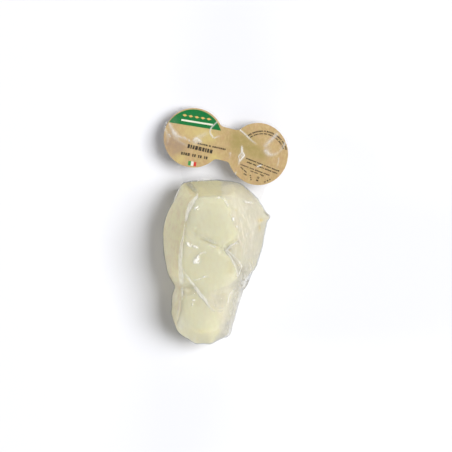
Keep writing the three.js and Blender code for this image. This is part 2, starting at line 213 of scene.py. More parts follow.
# Small puckers, each with a short glint painted white over it: their haze is a painted highlight.
PUCKERS_WITH_PAINTED_GLINTS = crease_table(
    ([(-23.3, 11.3), (-21.6, 12.3), (-19.9, 13.2)], 0.5, 0.65, 1.0, 1.0),
    ([(-7.1, 19.5), (-4.2, 19.6)], 0.4, 0.6, 0.6, 1.0),
    ([(4.9, 5.4), (5.2, 2.6)], 0.5, 0.75, 0.95, 1.0),
    ([(7.2, -0.8), (7.9, -1.9)], 0.5, 0.7, 0.7, 1.0),
    ([(-28.6, -12.2), (-27.4, -14.4), (-25.6, -16.4)], 0.5, [0.8, 1.1, 0.7], 0.95, 1.0),
    ([(-25.8, -16.2), (-24.6, -13.6)], 0.4, 0.45, 0.7, 1.0),
    ([(-24.4, -15.2), (-22.4, -16.0), (-20.0, -17.2)], 0.5, [0.8, 0.9, 0.4], 0.95, 1.0),
    ([(-24.2, -27.4), (-21.6, -25.8), (-19.9, -23.0)], 0.5, [1.2, 1.9, 1.2], 1.0, 1.0),
    ([(-21.4, -25.2), (-19.9, -21.8)], 0.5, 0.8, 0.95, 1.0),
    ([(-20.4, -22.2), (-17.6, -20.6), (-13.2, -19.6)], 0.4, 0.65, [0.8, 0.45, 0.1], 0.9),
    ([(-24.6, -27.6), (-19.0, -27.7)], 0.5, 0.6, 0.95, 1.0),
    ([(-17.2, -38.7), (-14.1, -37.1)], 0.5, 0.6, 0.7, 0.95),
    ([(-23.8, -41.0), (-16.9, -38.5)], 0.25, 0.5, 0.4, 0.9),
    ([(-25.2, -54.8), (-22.3, -55.1)], 0.4, 0.5, 0.95, 1.0),
    ([(-24.5, -56.5), (-24.6, -59.3)], 0.4, 0.45, 0.8, 1.0),
    ([(-7.2, -60.4), (-4.9, -60.9), (-0.9, -60.6)], 0.1, 0.4, 0.35, 0.9),
    ([(-7.0, -62.4), (-4.4, -63.2), (-1.2, -62.4)], 0.1, 0.4, 0.35, 0.9),
    ([(-24.4, -4.1), (-21.4, -0.6)], 0.25, 0.6, 0.15, 0.9),
    ([(12.0, 16.9), (15.8, 16.3), (20.6, 15.6)], 0.12, [0.7, 0.9, 0.6], [0.3, 0.55, 0.2], 0.9),
)

# Soft patches where loose film makes a haze.
HAZES = [
    patch((-4.0, -55.5), (9.5, 7.5), 0.25),  # right of the diagonal, over the neck
    patch((9.5, -52.0), (4.2, 14.0), 0.45, -18.0),  # right side of the head
    patch((4.0, -76.0), (5.0, 12.0), 0.55, -14.0),  # bottom right corner
    patch((12.5, -37.0), (4.0, 8.0), 0.3, -10.0),  # bunched film
    patch((14.2, -45.0), (2.0, 1.6), 0.3),  # its lower end
]
HAZE_TONE = 0.55  # of loose film over the cheese, from grey to white
LOOSE_UNEVEN = 0.35  # how much the haze of loose film varies
LOOSE_CELL = (2.0, 6.0, 4.0)
FOLD_UNEVEN = 0.3  # and that of its creases
FOLD_CELL = (1.2, 2.5, 2.0)
# Painted highlights: soft white glare of the film over the card in these places.
TAG_PAINTED_GLARE = [
    patch((11.7, 50.7), (1.6, 2.2), 0.5),  # in the loop between the discs
    patch((-21.8, 61.6), (2.6, 2.0), 0.5),  # under the arch on the left disc
    patch((-37.5, 65.5), (4.5, 2.2), 0.25, -50.0),  # beside the green field's corner
    patch((-38.0, 77.0), (3.0, 3.0), 0.05),  # over that corner
    patch((30.5, 54.5), (2.4, 3.2), 0.2, 20.0),  # on the right disc
]

# Fine relief of the film: a broad unevenness, fibres over the pale part, and pleats round the flanks.
UNEVEN_HEIGHT = 0.12
UNEVEN_CELL = 9.0
FIBRE_HEIGHT = 0.08
FIBRE_CELL = (1.3, 4.0, 3.0)
PAST_HEAD = [(Y, -50.0, -40.0)]  # the film is smoother over the head itself
PLEAT_HEIGHT = 0.35
PLEAT_CELL = (4.0, 22.0, 1.0)
MIDDLE = (-14.0, -27.0)  # of the lump, seen from above
MEAN_RADIUS = 45.0  # turns an angle round it into a length

# A second set of fibres in the pale part runs at an angle to the first.
TURNED_FIBRES = np.array([[0.94, -0.34, 0.0], [0.34, 0.94, 0.0], [0.0, 0.0, 1.0]])

# ---- Colour zones of the cheese ----

# Right of this line the cheese is whiter: (y, x), from the tag's side to the head.
PALE_EDGE = [
    (32.8, -3.1), (20.3, -2.3), (18.1, -0.1), (3.4, 5.0), (-5.4, 8.7), (-12.0, 8.3), (-17.1, -0.1),
    (-23.8, 3.6), (-29.6, 7.2), (-38.5, 9.4), (-44.3, 2.8), (-48.7, -12.6), (-55.4, -13.3),
    (-59.8, -10.4), (-64.9, -6.7), (-77.4, -3.1), (-87.0, -8.9),
]
# Left of this line it turns down to the left side.
SIDE_EDGE = [
    (23.9, -20.5), (16.7, -24.3), (8.5, -28.1), (-7.4, -30.9), (-27.1, -34.2), (-55.2, -32.2),
    (-73.8, -36.1),
]
# Other parts of the surface, each as soft limits: the axis, where the share is 0, and where it is 1.
LEFT_SIDE = [(Y, 34.0, 20.0)]
TAG_SIDE = [(Y, 19.5, 22.5)]
# Over the pale part, this slope towards the tag gets painted light: a lighter colour where it takes less
# light.
BEHIND = [(Y, 18.0, 24.0), (Y, 31.0, 27.0), (X, 10.0, 3.0)]
HEAD = [(Y, -44.0, -50.0), (Y, -76.0, -64.0)]
FRONT = [(Y, -74.0, -79.0)]
# On this shoulder, which faces the key light, the pale part gets painted shade.
RIGHT_SHOULDER = [(X, 10.0, 17.0), (Y, 0.0, 9.0)]
TAIL = [(Y, 33.0, 35.0)]
ABOVE_FLOOR = [(Z, 2.0, 12.0)]
RAGGED = 1.6  # how far the zones' edges wander
RAGGED_CELL = 6.0
PALE_BLEND = 1.8  # half the width over which an edge fades
SIDE_BLEND = 1.2
# Shares of a zone's full colour.
# The share of painted light over the head's pale part.
HEAD_PAINTED_LIGHT = 0.6
FRONT_TOP = 0.7
# The share of that painted shade.
PAINTED_SHADE_SHARE = 0.7
LEAST_STREAKY = 0.3

STREAKY = ((12.5, -4.0), (7.0, 13.0))  # centre and radii of the place where fibres show most
# Darker, yellower spots.
SPOTS = [
    patch((25.4, 3.4), (2.1, 1.6)),
    patch((24.8, -2.5), (1.1, 2.6), 0.9),
    patch((7.5, 10.8), (1.0, 1.2), 0.4),
    patch((-12.8, 10.3), (1.3, 1.3), 0.12),
]
# Painted light: places coloured lighter where the lump's hollows and slopes take less light.
PAINTED_LIGHT_PLACES = [
    patch((-27.3, -48.0), (4.0, 5.0)),  # hollow of the neck
    patch((-38.5, -51.5), (3.0, 5.0)),  # the head's left flank
    patch((-27.0, -17.0), (4.0, 8.0), 0.5),  # the body's left shoulder
    patch((-17.0, -7.5), (5.0, 3.0), 0.4),  # above the V
    patch((3.6, 27.0), (5.0, 4.0), 0.6),  # the shoulder towards the tag
]

# ---- The tail and the tag ----

ORIGIN_SHIFT = (0.30, 0.75)  # from the frame to the axes in which the tail's curve is given
TAIL_ROOT = 17.0  # height of its middle layer where it starts
TAIL_DROOP = 9.0  # how much lower its far end is
TAIL_START_Y = 30.0
TAIL_LENGTH = 57.0
TAIL_EASE = 0.6  # how much of the droop comes early
TAIL_WAVE = 0.9  # height of its sideways wave at the far end
TAIL_WAVE_LENGTH = 9.0  # along X, for each radian of the wave
DISC_LEFT = {"at": (-24.0, 64.05), "radius": 22.0}
DISC_RIGHT = {"at": (23.6, 52.05), "radius": 22.4}
DISC_DRAWN = (0.98, 1.025)  # how wide and how tall it looks beside a round one
BRIDGE_ABOVE = 13.2  # from the line between the discs' centres to the bridge's edges
BRIDGE_BELOW = 11.1
FILM_MARGIN = 1.6  # of film past the tag's edge
# Outline of the film between the tag and the cheese.
WEB = [
    (-29.8, 25.25), (-36.3, 49.25), (-8.3, 55.25), (11.7, 51.25), (31.2, 33.25), (24.7, 16.75), (7.7, 23.25),
]

# Heights over the tail's middle layer.
LOWER_FILM = 0.42
CARD_LOW = 0.75
CARD_HIGH = 1.1
UPPER_FILM = 1.36
SEALED_FILM = 0.75
SOLID_TAG_MIDDLE = 1.2  # between the two faces of the solid tag
SEAL_WIDTH = 1.5  # over which the upper film comes down round the card
CARD_DENTS = [(0.22, 11.0, 4.4), (0.06, 3.5, 8.2)]  # depth, cell, and seed of the noise
POUCH_GRID = (-49, 49, 15, 89, 0.7)  # x from and to, y from and to, and the cell's side
CARD_GRID = (-48, 48, 28, 88, 1.0)

# Creases of the film over the tag: their relief is real, and their white haze paints the highlights along
# them.
TAG_CREASES_AND_HIGHLIGHTS = crease_table(
    # The long crease over the bridge and the right disc.
    ([(9.1, 70.8), (13.5, 67.0), (16.8, 63.8), (19.6, 61.2), (23.2, 58.7)],
     0.15, 0.45, [0.9, 0.85, 0.8, 0.5, 0.1], 1.0),
    # The hooked one at the green field's corner.
    ([(-6.0, 76.4), (-10.3, 72.2), (-11.5, 70.1), (-11.7, 67.6), (-9.2, 63.5)],
     0.12, 0.45, [0.6, 0.5, 0.7, 0.8, 0.8], 1.0),
    ([(-9.2, 63.5), (-6.4, 64.8), (-4.2, 65.0)], 0.12, 0.4, [0.8, 0.6, 0.3], 1.0),
    # The upright pair between the discs, and where they open out.
    ([(11.5, 58.9), (11.1, 55.0), (11.0, 52.8), (9.4, 50.6), (9.6, 47.4), (9.3, 43.8)],
     0.2, 0.4, [0.4, 0.9, 0.7, 0.6, 0.8, 0.5], 1.0),
    ([(11.5, 58.5), (12.0, 55.5), (12.1, 53.2), (13.3, 50.9), (11.3, 48.4), (9.8, 46.0)],
     0.2, 0.5, [0.3, 0.8, 0.9, 0.9, 0.6], 1.0),
    ([(7.1, 39.0), (7.0, 37.0)], 0.12, 0.4, 0.6, 1.0),
    ([(2.9, 53.4), (3.0, 51.0), (2.6, 48.5)], 0.12, 0.7, [0.5, 0.2, 0.1], 0.9),
    # Broad soft bands on the right disc.
    ([(28.2, 56.4), (30.0, 59.3), (33.0, 62.2), (35.9, 65.2), (38.8, 68.1)],
     0.15, [1.6, 1.5, 1.2, 1.1], [0.3, 0.4, 0.45, 0.35], 0.95),
    ([(28.6, 56.2), (29.3, 54.4), (31.5, 52.0), (35.2, 51.6), (38.8, 53.4), (41.8, 57.1), (44.1, 61.8)],
     0.15, [1.7, 1.6, 1.1, 0.8, 0.7, 0.6], [0.5, 0.5, 0.25, 0.2, 0.35, 0.6], 1.0),
    ([(38.5, 49.5), (38.6, 46.8), (36.9, 41.4)], 0.12, 0.5, [0.4, 0.3, 0.1], 0.95),
    ([(22.5, 42.5), (24.3, 43.3), (26.1, 43.7)], 0.15, 0.45, 0.9, 1.0),
    # Soft bands on the left disc.
    ([(-42.0, 75.4), (-40.2, 71.0), (-37.6, 66.8), (-35.0, 62.6)],
     0.15, [0.8, 1.3, 1.7, 0.7], [0.6, 0.4, 0.7, 0.2], 0.95),
    ([(-39.8, 69.6), (-35.4, 65.5), (-31.0, 63.3), (-28.8, 61.5)],
     0.15, [0.6, 1.0, 0.8], [0.3, 0.45, 0.1], 0.95),
    ([(-46.0, 72.0), (-44.2, 68.9), (-42.8, 63.7), (-43.5, 58.6)],
     0.12, [0.5, 0.9, 0.6], [0.5, 0.25, 0.1], 0.9),
    ([(-36.9, 63.0), (-32.5, 60.0), (-28.1, 57.8)], 0.12, 0.7, [0.25, 0.2, 0.1], 0.9),
    ([(-24.6, 60.9), (-22.5, 63.3), (-19.5, 62.0), (-17.6, 59.8)],
     0.15, [0.5, 1.2, 1.4, 0.6], [0.3, 0.7, 0.6, 0.3], 1.0),
    ([(-22.5, 63.1), (-17.0, 66.0), (-12.5, 68.0)], 0.12, 1.6, [0.35, 0.25, 0.1], 0.95),
    ([(-31.4, 64.9), (-30.2, 63.9), (-29.2, 62.6)], 0.1, 0.35, 0.8, 1.0),
    ([(-28.6, 63.2), (-27.4, 62.2), (-26.6, 60.9)], 0.1, 0.3, 0.7, 1.0),
    ([(-42.6, 67.0), (-41.6, 65.8), (-41.4, 64.2)], 0.1, 0.35, 0.7, 1.0),
)

# Where the card has other tones.
TAG_TONES = {
    "worn": [
        patch((-38.5, 56.0), (5.0, 6.5)),
        patch((-34.0, 57.5), (6.0, 4.5)),
        patch((-42.0, 63.0), (3.5, 8.0), turn=-15.0),
    ],
    "sunny": [
        patch((-20.5, 68.5), (12.0, 5.5), turn=-8.0),
        patch((-14.0, 64.0), (6.0, 5.0)),
        patch((-34.0, 48.5), (5.0, 3.5), turn=30.0),
        patch((-8.5, 49.5), (4.5, 3.5)),
    ],
    "olive": [
        patch((15.5, 58.0), (10.0, 8.0), turn=-40.0),
        patch((7.5, 61.5), (5.0, 7.0)),
        patch((24.0, 52.0), (7.0, 4.0), turn=-40.0),
    ],
}

# ---- Helpers for meshes ----


def smoothstep(value, low, high):
    share = np.clip((value - low) / (high - low), 0, 1)
    return share * share * (3 - 2 * share)


def new_object(name, mesh):
    made = bpy.data.objects.new(name, mesh)
    bpy.context.scene.collection.objects.link(made)
    return made


def mesh_object(name, vertices, faces):
    """An object from millimetre vertices."""
    mesh = bpy.data.meshes.new(name)
    mesh.from_pydata([tuple(c * MM for c in v) for v in vertices], [], faces)
    return new_object(name, mesh)


def remove(*objects):
    for o in objects:
        bpy.data.objects.remove(o)


def apply_modifiers(obj):
    depsgraph = bpy.context.evaluated_depsgraph_get()
    mesh = bpy.data.meshes.new_from_object(obj.evaluated_get(depsgraph))
    obj.modifiers.clear()
    obj.data = mesh
    return obj


def combine(obj, operation, *tools):
    """Joins, cuts or intersects obj with the tools, and removes them."""
    for tool in tools:
        modifier = obj.modifiers.new(operation, "BOOLEAN")
        modifier.operation = operation
        modifier.solver = "MANIFOLD"
        modifier.object = tool
    apply_modifiers(obj)
    remove(*tools)
    return obj


def edit_mesh(obj, change):
    mesh = bmesh.new()
    mesh.from_mesh(obj.data)
    change(mesh)
    mesh.to_mesh(obj.data)
    mesh.free()


def cad_copy(name, node):
    """A copy of a solid's mesh with its shared vertices merged."""
    made = new_object(name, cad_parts[node].data.copy())
    made.data.materials.clear()
    edit_mesh(made, lambda mesh: bmesh.ops.remove_doubles(mesh, verts=mesh.verts, dist=1e-3 * MM))
    return made


def remeshed(obj, voxel, smoothing):
    modifier = obj.modifiers.new("remesh", "REMESH")
    modifier.mode = "VOXEL"
    modifier.voxel_size = voxel * MM
    smooth = obj.modifiers.new("smooth", "SMOOTH")
    smooth.factor = 0.5
    smooth.iterations = smoothing
    return apply_modifiers(obj)


def of_vertices(obj, what):
    values = np.empty(len(obj.data.vertices) * 3)
    obj.data.vertices.foreach_get(what, values)
    return values.reshape(-1, 3)


def points_of(obj):
    return of_vertices(obj, "co") / MM


def normals_of(obj):
    return of_vertices(obj, "normal")


def move_to(obj, points):
    obj.data.vertices.foreach_set("co", (points * MM).ravel())
    obj.data.update()


def set_attribute(obj, name, values):
    layer = obj.data.attributes.new(name, "FLOAT", "POINT")
    layer.data.foreach_set("value", np.asarray(values, np.float32))


def shade_smooth(obj, sharp_degrees=60):
    obj.data.polygons.foreach_set("use_smooth", [True] * len(obj.data.polygons))
    obj.data.set_sharp_from_angle(angle=math.radians(sharp_degrees))


def prism(name, outline):
    """A tall upright block with this outline."""
    count = len(outline)
    vertices = [(x, y, z) for z in (-BEYOND, BEYOND) for x, y in outline]
    sides = [(i, (i + 1) % count, (i + 1) % count + count, i + count) for i in range(count)]
    faces = [tuple(reversed(range(count))), tuple(range(count, 2 * count)), *sides]
    return mesh_object(name, vertices, faces)


def circle(centre, radius, steps=120):
    turns = [2 * math.pi * i / steps for i in range(steps)]
    return [(centre[0] + radius * math.cos(a), centre[1] + radius * math.sin(a)) for a in turns]


def slab(name, grid, low, high):
    """A closed slab over a grid of (x, y) points, between two functions of x and y."""
    rows, columns = len(grid), len(grid[0])
    flat = np.array(grid, float).reshape(-1, 2)
    layer = rows * columns
    vertices = []
    for height in (low, high):
        z = height(flat[:, 0], flat[:, 1])
        vertices += np.column_stack([flat, z]).tolist()

    def at(i, j):
        return i * columns + j

    faces = []
    for i in range(rows - 1):
        for j in range(columns - 1):
            around = [at(i, j), at(i, j + 1), at(i + 1, j + 1), at(i + 1, j)]
            faces += [tuple(reversed(around)), tuple(layer + v for v in around)]
    rim = [at(0, j) for j in range(columns - 1)] + [at(i, columns - 1) for i in range(rows - 1)]
    rim += [at(rows - 1, j) for j in range(columns - 1, 0, -1)] + [at(i, 0) for i in range(rows - 1, 0, -1)]
    for a, b in zip(rim, rim[1:] + rim[:1]):
        faces.append((a, b, b + layer, a + layer))
    made = mesh_object(name, vertices, faces)
    edit_mesh(made, lambda mesh: bmesh.ops.recalc_face_normals(mesh, faces=mesh.faces))
    return made


def grid_over(x0, x1, y0, y1, cell):
    columns, rows = round((x1 - x0) / cell), round((y1 - y0) / cell)
    return [[(x, y) for x in np.linspace(x0, x1, columns + 1)] for y in np.linspace(y0, y1, rows + 1)]


# ---- Fields over the surface ----

CREASE_REACH = 3  # in widths, past which a crease isn't felt
FLAT_EDGE = (0.6, 1.35)  # in widths, where a flat crease starts to fade and where it ends
CREASE_ENDS = 0.1  # share of its length over which a crease fades at each end
PUCKER_ENDS = 0.3


def along_path(xy, path):
    """How far each point is from the path, and the share of the path's length at the nearest place on it."""
    nearest = np.full(len(xy), np.inf)
    share = np.zeros(len(xy))
    steps = np.linalg.norm(np.diff(path, axis=0), axis=1)
    starts = np.concatenate([[0], np.cumsum(steps)])
    for start, end, length, before in zip(path, path[1:], steps, starts):
        direction = (end - start) / length
        run = np.clip((xy - start) @ direction, 0, length)
        distance = np.linalg.norm(xy - start - run[:, None] * direction, axis=1)
        closer = distance < nearest
        nearest[closer] = distance[closer]
        share[closer] = ((before + run) / starts[-1])[closer]
    return nearest, share


def along(values, share):
    """A single value, or a list of values spread evenly over shares of a length from 0 to 1."""
    values = np.atleast_1d(np.asarray(values, float))
    return np.interp(share, np.linspace(0, 1, len(values)), values)


def crease_fields(xy, creases, end_share=CREASE_ENDS):
    """The height and the haze that creases add at each point, and the haze's tone there."""
    height, haze, tone = np.zeros(len(xy)), np.zeros(len(xy)), np.full(len(xy), HAZE_TONE)
    for c in creases:
        reach = CREASE_REACH * np.max(c["width"])
        low, high = c["path"].min(0) - reach, c["path"].max(0) + reach
        near = np.flatnonzero(((xy > low) & (xy < high)).all(1))
        if not len(near):
            continue
        distance, share = along_path(xy[near], c["path"])
        across = distance / along(c["width"], share)
        fade = smoothstep(np.minimum(share, 1 - share), -0.25 * end_share, end_share)
        shape = fade * (1 - smoothstep(across, *FLAT_EDGE) if c["flat"] else np.exp(-(across**2)))
        height[near] += along(c["height"], share) * shape
        cover = along(c["haze"], share) * shape
        stronger = cover > haze[near]
        haze[near[stronger]] = cover[stronger]
        tone[near[stronger]] = c["tone"]
    return height, haze, tone


def soft_spot(xy, centre, radii, turn=0.0):
    """1 at the centre of an ellipse, falling smoothly to 0 past it."""
    c, s = math.cos(math.radians(turn)), math.sin(math.radians(turn))
    across = (xy - np.array(centre)) @ np.array([[c, -s], [s, c]])
    return np.exp(-((across / np.array(radii)) ** 2).sum(1))


def patched(xy, patches):
    """The strengths of soft patches at each point, added up."""
    return sum(p["strength"] * soft_spot(xy, p["at"], p["radii"], p["turn"]) for p in patches)


def within(points, limits):
    """1 inside soft limits, each given as an axis, where the share is 0, and where it is 1."""
    share = np.ones(len(points))
    for axis, zero, one in limits:
        share *= smoothstep(points[:, axis], zero, one)
    return share


def faces_up(normals):
    """1 on faces that are turned up, and 0 on upright ones and below."""
    return smoothstep(normals[:, Z], 0.05, 0.35)


def noise_field(points, cell, seed=0.0):
    """Smooth noise from -1 to 1, with features about a cell in size; cell is one length or three."""
    scaled = points / np.broadcast_to(np.array(cell, float), (3,)) + seed
    return np.array([noise.noise(p) for p in scaled.tolist()])


def ridges(points, cell, seed=0.0):
    """Noise with sharp crests, 1 on the crests."""
    return (1 - np.abs(noise_field(points, cell, seed))) ** 4


def right_of(points, edge, blend):
    """0 left of a line given as (y, x) pairs and 1 right of it."""
    ys, xs = np.array(edge[::-1]).T
    line = np.interp(points[:, Y], ys, xs)
    return smoothstep(points[:, X] - line, -blend, blend)


def zones(points, normals):
    """Shares of the cheese's colour zones at each point."""
    xy = points[:, :2]
    ragged = points + RAGGED * noise_field(points, RAGGED_CELL, seed=3.1)[:, None]
    pale = right_of(ragged, PALE_EDGE, PALE_BLEND)
    behind = within(ragged, BEHIND)
    # Painted light: a lighter colour on slopes and hollows that take less light.
    light = pale * (behind + HEAD_PAINTED_LIGHT * within(ragged, HEAD)) + patched(xy, PAINTED_LIGHT_PLACES)
    return {
        "side": (1 - right_of(ragged, SIDE_EDGE, SIDE_BLEND)) * within(points, LEFT_SIDE),
        "top": (within(ragged, TAG_SIDE) + FRONT_TOP * within(points, FRONT)) * (1 - pale),
        "pale": pale,
        "light": np.clip(light, 0, 1),
        # Painted shade on the right shoulder, where the key light falls strongest.
        "painted_shade": PAINTED_SHADE_SHARE * pale * (1 - behind) * within(points, RIGHT_SHOULDER),
        "streaky": pale * np.clip(LEAST_STREAKY + soft_spot(xy, *STREAKY), 0, 1),
        "below": smoothstep(-normals[:, Z], -0.1, 0.5),
        "spot": np.clip(patched(xy, SPOTS), 0, 1),
        # Painted shade along narrow grooves and over a patch below the V's arm.
        "crease_shade": crease_fields(xy, CREASE_SHADES)[1],
    }


# ---- Cheese and film ----


def rounded(corners, reach, steps=6):
    """The corners' path with each inner corner rounded."""
    points = [corners[0]]
    for before, corner, after in zip(corners, corners[1:], corners[2:]):
        b, c, a = (np.array(p) for p in (before, corner, after))
        start, end = c + (b - c) * reach, c + (a - c) * reach
        for t in np.linspace(0, 1, steps):
            points.append(tuple((1 - t) ** 2 * start + 2 * t * (1 - t) * c + t**2 * end))
    return [*points, corners[-1]]


def lump(name, voxel):
    """The solid lump without the tail, as an even fine mesh."""
    edge = rounded(TAIL_SIDE, CORNER_REACH)
    first, last = TAIL_SIDE[0], TAIL_SIDE[-1]
    beyond = [(BEYOND, last[1]), (BEYOND, BEYOND), (-BEYOND, BEYOND), (-BEYOND, first[1])]
    body = combine(cad_copy(name, "sealed_bag"), "DIFFERENCE", prism("tail_cut", edge + beyond))
    return remeshed(body, voxel, FACET_SMOOTHING)


def film_relief(points, normals):
    """How far the film over the cheese stands out from where it would lie flat."""
    xy = points[:, :2]
    creases = crease_fields(xy, CREASES)[0]
    puckers = crease_fields(xy, PUCKERS_WITH_PAINTED_GLINTS, PUCKER_ENDS)[0]
    pale = right_of(points, PALE_EDGE, 3.0)
    uneven = UNEVEN_HEIGHT * noise_field(points, UNEVEN_CELL, seed=7.7)
    fibres = ridges(points, FIBRE_CELL, seed=1.3) + ridges(points @ TURNED_FIBRES, FIBRE_CELL, seed=8.1)
    streaks = FIBRE_HEIGHT * pale * (0.3 + 0.7 * within(points, PAST_HEAD)) * (fibres - 0.6)
    flank = smoothstep(np.abs(normals[:, Z]), 0.75, 0.35)
    around = np.arctan2(points[:, Y] - MIDDLE[Y], points[:, X] - MIDDLE[X]) * MEAN_RADIUS
    wrapped = np.column_stack([around, points[:, Z], np.zeros(len(points))])
    pleats = PLEAT_HEIGHT * flank * (ridges(wrapped, PLEAT_CELL, seed=5.9) - 0.3)
    return faces_up(normals) * (creases + puckers + streaks) + uneven + pleats


def swollen(obj):
    """Raises the surface over the swells, and shifts the corners of its outline."""
    points, normals = points_of(obj), normals_of(obj)
    xy = points[:, :2]
    moved = points.copy()
    moved[:, Z] += faces_up(normals) * crease_fields(xy, SWELLS)[0]
    for at, radius, shift in CORNERS:
        moved[:, :2] += soft_spot(xy, at, (radius, radius))[:, None] * np.array(shift)
    move_to(obj, moved)
    return obj


def make_cheese():
    """The cheese inside the film, with its share of each colour zone at every point."""
    cheese = swollen(lump("cheese", CHEESE_VOXEL))
    points, normals = points_of(cheese), normals_of(cheese)
    shares = zones(points, normals)
    dents = np.minimum(film_relief(points, normals), 0)
    knobs = KNOB_HEIGHT * (noise_field(points, KNOB_CELL, seed=2.2) - 1)
    moved = points + normals * (dents + knobs - CHEESE_INSET)[:, None]
    moved[:, X] -= patched(points[:, :2], SLACK)
    moved[:, Z] = np.maximum(moved[:, Z], CHEESE_INSET)
    move_to(cheese, moved)
    for name, values in shares.items():
        set_attribute(cheese, name, values)
    shade_smooth(cheese, 180)
    return cheese


def tail_height(x, y):
    """Height of the tail's middle layer."""
    run = np.clip((y + ORIGIN_SHIFT[Y] - TAIL_START_Y) / TAIL_LENGTH, 0, 1)
    droop = TAIL_DROOP * run * run * (1 + TAIL_EASE - TAIL_EASE * run)
    return TAIL_ROOT - droop + TAIL_WAVE * run * np.sin((x + ORIGIN_SHIFT[X]) / TAIL_WAVE_LENGTH)


def tag_axis():
    """Both discs' centres and the direction from the left one to the right."""
    left, right = np.array(DISC_LEFT["at"]), np.array(DISC_RIGHT["at"])
    return left, right, (right - left) / np.linalg.norm(right - left)


def bridge_corners(margin):
    """Corners of the tag's bridge, from centre to centre."""
    left, right, axis = tag_axis()
    up = np.array([-axis[Y], axis[X]])
    above, below = up * (BRIDGE_ABOVE + margin), -up * (BRIDGE_BELOW + margin)
    return [tuple(left + below), tuple(right + below), tuple(right + above), tuple(left + above)]


def distance_to_disc(x, y, disc):
    return np.hypot(x - disc["at"][X], y - disc["at"][Y]) - disc["radius"]


def distance_to_tag(x, y):
    """How far outside the tag's edge a point is; negative over the tag."""
    left, right, axis = tag_axis()
    length = np.linalg.norm(right - left)
    u = (x - left[X]) * axis[X] + (y - left[Y]) * axis[Y]
    v = (y - left[Y]) * axis[X] - (x - left[X]) * axis[Y]
    to_bridge = np.maximum(np.maximum(v - BRIDGE_ABOVE, -BRIDGE_BELOW - v), np.maximum(-u, u - length))
    to_discs = np.minimum(distance_to_disc(x, y, DISC_LEFT), distance_to_disc(x, y, DISC_RIGHT))
    return np.minimum(to_discs, to_bridge)


def card_dents(x, y):
    """Slight unevenness of the card and of the film on it."""
    flat = np.column_stack([x, y, np.zeros(len(x))])
    return sum(depth * noise_field(flat, cell, seed) for depth, cell, seed in CARD_DENTS)


def card_top(x, y):
    return tail_height(x, y) + CARD_HIGH + card_dents(x, y)


def raised(height, by):
    """A height function lifted by so much."""
    return lambda x, y: height(x, y) + by


def draw_right_disc(obj):
    """Makes the right disc in an outline slightly narrower and taller, as it lies bent."""
    points = points_of(obj)
    on_disc = smoothstep(points[:, X], 6.0, 16.0)[:, None]
    points[:, :2] += on_disc * (points[:, :2] - DISC_RIGHT["at"]) * (np.array(DISC_DRAWN) - 1)
    move_to(obj, points)


def make_pouch():
    """The bag's tail: film over and under the card, with its two faces close together past the card."""

    def upper(x, y):
        over = 1 - smoothstep(distance_to_tag(x, y), 0.0, SEAL_WIDTH)
        ridge = crease_fields(np.column_stack([x, y]), TAG_CREASES_AND_HIGHLIGHTS)[0]
        cover = SEALED_FILM + (UPPER_FILM - SEALED_FILM + ridge) * over
        return tail_height(x, y) + card_dents(x, y) + cover

    def lower(x, y):
        return tail_height(x, y) + card_dents(x, y) + LOWER_FILM

    pouch = slab("pouch", grid_over(*POUCH_GRID), lower, upper)
    outline = prism("pouch_outline", circle(DISC_LEFT["at"], DISC_LEFT["radius"] + FILM_MARGIN))
    right = prism("pouch_right", circle(DISC_RIGHT["at"], DISC_RIGHT["radius"] + FILM_MARGIN))
    bridge = prism("pouch_bridge", bridge_corners(FILM_MARGIN))
    draw_right_disc(right)
    web = prism("pouch_web", WEB[::-1])
    return combine(pouch, "INTERSECT", combine(outline, "UNION", right, bridge, web))


def make_film():
    film = swollen(lump("film", FILM_VOXEL))
    points, normals = points_of(film), normals_of(film)
    moved = points + normals * film_relief(points, normals)[:, None]
    moved[:, Z] = np.maximum(moved[:, Z], 0)
    move_to(film, moved)
    combine(film, "UNION", make_pouch())
    haze, tone = film_haze(points_of(film), normals_of(film))
    set_attribute(film, "haze", haze)
    set_attribute(film, "tone", tone)
    shade_smooth(film)
    return film


def film_haze(points, normals):
    """How much the film hides what is under it, and its tone there: along its creases and where it is loose.
    The haze and the tone fade down the flanks, so that they don't smear there. White haze on the puckers, on
    some creases and over the tag is painted highlight, and grey in some folds is painted shade."""
    xy = points[:, :2]
    over_tail = within(points, TAIL)
    facing_up = smoothstep(normals[:, Z], -0.1, 0.35)
    over_cheese = (1 - over_tail) * within(points, ABOVE_FLOOR) * smoothstep(normals[:, Z], -0.2, 0.1)
    over_card = over_tail * smoothstep(distance_to_tag(*xy.T), 0.8, -0.2)
    loose = patched(xy, HAZES) * (1 - over_tail) * (0.4 + 0.6 * facing_up)
    loose += patched(xy, TAG_PAINTED_GLARE) * over_card
    haze = loose * (1 + LOOSE_UNEVEN * noise_field(points, LOOSE_CELL, seed=2.6))
    tone = HAZE_TONE + (1 - HAZE_TONE) * over_tail
    patchy = 1 + FOLD_UNEVEN * noise_field(points, FOLD_CELL, seed=6.3)
    layers = [
        (CREASES, CREASE_ENDS, over_cheese),
        (PUCKERS_WITH_PAINTED_GLINTS, PUCKER_ENDS, over_cheese),
        (TAG_CREASES_AND_HIGHLIGHTS, CREASE_ENDS, over_card),
    ]
    for creases, ends, here in layers:
        cover, its_tone = crease_fields(xy, creases, ends)[1:]
        cover = cover * patchy * here
        tone = np.where(cover > haze, its_tone, tone)
        haze = np.maximum(haze, cover)
    return np.clip(haze, 0, 1), tone


# ---- The tag ----


